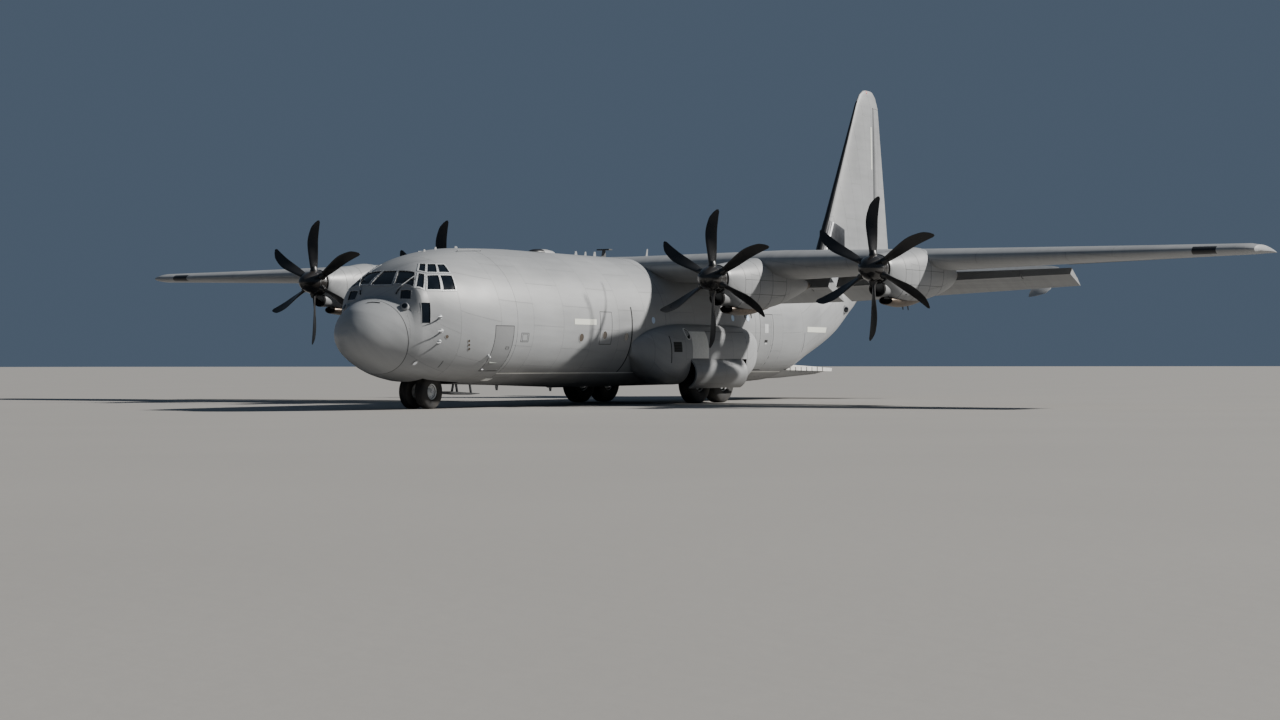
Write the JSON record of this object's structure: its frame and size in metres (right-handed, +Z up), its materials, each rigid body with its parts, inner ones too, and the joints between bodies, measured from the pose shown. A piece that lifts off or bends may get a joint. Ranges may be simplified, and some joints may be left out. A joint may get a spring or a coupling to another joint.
{
  "type": "military transport aeroplane, 1:2 scale model",
  "caption": "Half-size model of a high-wing turboprop transport plane with a round fuselage, scimitar propeller blades, upswept tail and an open rear cargo ramp.",
  "frame": {"origin": "on the ground, midway along the length and the span of the plane", "axes": "+X towards the left wing tip, +Y towards the tail, +Z up; the nose points along -Y"},
  "size_m": [20.205, 17.185, 5.905],
  "materials": {
    "grey_paint": "satin",
    "radome_paint": "satin",
    "tyre_black": "matte",
    "blade_black": "satin",
    "gear_white": "satin",
    "bare_steel": "satin",
    "tinted_glass": "gloss",
    "cabin_grey": "matte",
    "floor_grey": "matte",
    "ramp_yellow": "matte"
  },
  "bodies": {
    "airframe": {"radome": "radome_paint", "cockpit_shell": "grey_paint", "forward_fuselage": "grey_paint", "centre_fuselage": "grey_paint", "aft_fuselage": "grey_paint", "troop_door_left": "grey_paint", "troop_door_right": "grey_paint", "tail_cone": "grey_paint", "cockpit_glass": "tinted_glass", "cargo_floor": "floor_grey", "cockpit_bulkhead": "cabin_grey", "flight_deck": "cabin_grey", "nose_gear_well": "gear_white", "instrument_panel": "cabin_grey", "pilot_seat_left": "cabin_grey", "pilot_seat_right": "cabin_grey", "centre_wing": "grey_paint", "outer_wing_left": "grey_paint", "outer_wing_right": "grey_paint", "fin": "grey_paint", "tailplane_left": "grey_paint", "tailplane_right": "grey_paint", "nacelle_1": "grey_paint", "nacelle_2": "grey_paint", "nacelle_3": "grey_paint", "nacelle_4": "grey_paint", "sponson_left": "grey_paint", "sponson_right": "grey_paint", "gear_door_left": "grey_paint", "gear_door_right": "grey_paint", "main_gear_leg_left": "gear_white", "main_gear_leg_right": "gear_white", "nose_gear_leg": "gear_white", "nose_gear_door": "grey_paint", "roof_dome": "grey_paint"},
    "propeller_1_body": {"propeller_1": "blade_black"},
    "propeller_2_body": {"propeller_2": "blade_black"},
    "propeller_3_body": {"propeller_3": "blade_black"},
    "propeller_4_body": {"propeller_4": "blade_black"},
    "front_main_wheel_left_body": {"front_main_wheel_left": "tyre_black"},
    "rear_main_wheel_left_body": {"rear_main_wheel_left": "tyre_black"},
    "front_main_wheel_right_body": {"front_main_wheel_right": "tyre_black"},
    "rear_main_wheel_right_body": {"rear_main_wheel_right": "tyre_black"},
    "nose_steering": {"nose_gear_fork": "bare_steel"},
    "nose_wheels": {"nose_wheel_left": "tyre_black", "nose_wheel_right": "tyre_black"},
    "crew_door_body": {"crew_door": "grey_paint"},
    "cargo_ramp_body": {"cargo_ramp": "ramp_yellow"},
    "cargo_door_body": {"cargo_door": "grey_paint"},
    "rudder_body": {"rudder": "grey_paint"},
    "elevator_left_body": {"elevator_left": "grey_paint"},
    "elevator_right_body": {"elevator_right": "grey_paint"},
    "aileron_left_body": {"aileron_left": "grey_paint"},
    "aileron_right_body": {"aileron_right": "grey_paint"},
    "inner_flap_left_body": {"inner_flap_left": "grey_paint"},
    "inner_flap_right_body": {"inner_flap_right": "grey_paint"},
    "outer_flap_left_body": {"outer_flap_left": "grey_paint"},
    "outer_flap_right_body": {"outer_flap_right": "grey_paint"}
  },
  "joints": [
    {"name": "propeller_1_spin", "type": "hinge", "parent": "airframe", "child": "propeller_1_body", "pos_m": [5.08, -2.9875, 1.975], "axis": [0, 1, 0], "continuous": true},
    {"name": "propeller_2_spin", "type": "hinge", "parent": "airframe", "child": "propeller_2_body", "pos_m": [2.465, -2.9875, 1.885], "axis": [0, 1, 0], "continuous": true},
    {"name": "propeller_3_spin", "type": "hinge", "parent": "airframe", "child": "propeller_3_body", "pos_m": [-2.465, -2.9875, 1.885], "axis": [0, 1, 0], "continuous": true},
    {"name": "propeller_4_spin", "type": "hinge", "parent": "airframe", "child": "propeller_4_body", "pos_m": [-5.08, -2.9875, 1.975], "axis": [0, 1, 0], "continuous": true},
    {"name": "front_main_wheel_left_spin", "type": "hinge", "parent": "airframe", "child": "front_main_wheel_left_body", "pos_m": [1.0875, -1.1175, 0.345], "axis": [1, 0, 0], "continuous": true},
    {"name": "rear_main_wheel_left_spin", "type": "hinge", "parent": "airframe", "child": "rear_main_wheel_left_body", "pos_m": [1.0875, -0.3475, 0.345], "axis": [1, 0, 0], "continuous": true},
    {"name": "front_main_wheel_right_spin", "type": "hinge", "parent": "airframe", "child": "front_main_wheel_right_body", "pos_m": [-1.0875, -1.1175, 0.345], "axis": [1, 0, 0], "continuous": true},
    {"name": "rear_main_wheel_right_spin", "type": "hinge", "parent": "airframe", "child": "rear_main_wheel_right_body", "pos_m": [-1.0875, -0.3475, 0.345], "axis": [1, 0, 0], "continuous": true},
    {"name": "nose_steering_turn", "type": "hinge", "parent": "airframe", "child": "nose_steering", "pos_m": [0, -6.8925, 0.4], "axis": [0, 0, 1], "range_deg": [-60, 60]},
    {"name": "nose_wheels_spin", "type": "hinge", "parent": "nose_steering", "child": "nose_wheels", "pos_m": [0, -6.8925, 0.24], "axis": [1, 0, 0], "continuous": true},
    {"name": "crew_door_swing", "type": "hinge", "parent": "airframe", "child": "crew_door_body", "pos_m": [0.7625, -6.3275, 0.545], "axis": [0, 1, 0], "range_deg": [0, 100]},
    {"name": "cargo_ramp_tilt", "type": "hinge", "parent": "airframe", "child": "cargo_ramp_body", "pos_m": [0, 2.5575, 0.5], "axis": [1, 0, 0], "range_deg": [-12, 17]},
    {"name": "cargo_door_swing", "type": "hinge", "parent": "airframe", "child": "cargo_door_body", "pos_m": [0, 5.9275, 1.865], "axis": [1, 0, 0], "range_deg": [0, 22]},
    {"name": "rudder_turn", "type": "hinge", "parent": "airframe", "child": "rudder_body", "pos_m": [0, 7.6525, 2.575], "axis": [0, 0.025, 0.9997], "range_deg": [-35, 35]},
    {"name": "elevator_left_tilt", "type": "hinge", "parent": "airframe", "child": "elevator_left_body", "pos_m": [0.5, 7.1375, 2.21], "axis": [1, 0, 0], "range_deg": [-50, 5]},
    {"name": "elevator_right_tilt", "type": "hinge", "parent": "airframe", "child": "elevator_right_body", "pos_m": [-0.5, 7.1375, 2.21], "axis": [1, 0, 0], "range_deg": [-50, 5]},
    {"name": "aileron_left_tilt", "type": "hinge", "parent": "airframe", "child": "aileron_left_body", "pos_m": [6.98, -0.27624, 2.16392], "axis": [0.9965, -0.0829, 0.0129], "range_deg": [-15, 25]},
    {"name": "aileron_right_tilt", "type": "hinge", "parent": "airframe", "child": "aileron_right_body", "pos_m": [-6.98, -0.27624, 2.16392], "axis": [0.9965, 0.0829, -0.0129], "range_deg": [-15, 25]},
    {"name": "inner_flap_left_travel", "type": "hinge", "parent": "airframe", "child": "inner_flap_left_body", "pos_m": [1.175, -0.1297, 1.29332], "axis": [0.9999, 0, 0.0107], "range_deg": [-11, 25]},
    {"name": "inner_flap_right_travel", "type": "hinge", "parent": "airframe", "child": "inner_flap_right_body", "pos_m": [-1.175, -0.1297, 1.29332], "axis": [0.9999, 0, -0.0107], "range_deg": [-11, 25]},
    {"name": "outer_flap_left_travel", "type": "hinge", "parent": "airframe", "child": "outer_flap_left_body", "pos_m": [2.86, -0.13495, 1.31206], "axis": [0.9966, -0.0805, 0.0186], "range_deg": [-11, 25]},
    {"name": "outer_flap_right_travel", "type": "hinge", "parent": "airframe", "child": "outer_flap_right_body", "pos_m": [-2.86, -0.13495, 1.31206], "axis": [0.9966, 0.0805, -0.0186], "range_deg": [-11, 25]}
  ],
  "couplings": [
    {"joint": "elevator_right_tilt", "follows": "elevator_left_tilt", "ratio": 1},
    {"joint": "inner_flap_right_travel", "follows": "inner_flap_left_travel", "ratio": 1},
    {"joint": "outer_flap_left_travel", "follows": "inner_flap_left_travel", "ratio": 1},
    {"joint": "outer_flap_right_travel", "follows": "inner_flap_left_travel", "ratio": 1}
  ]
}
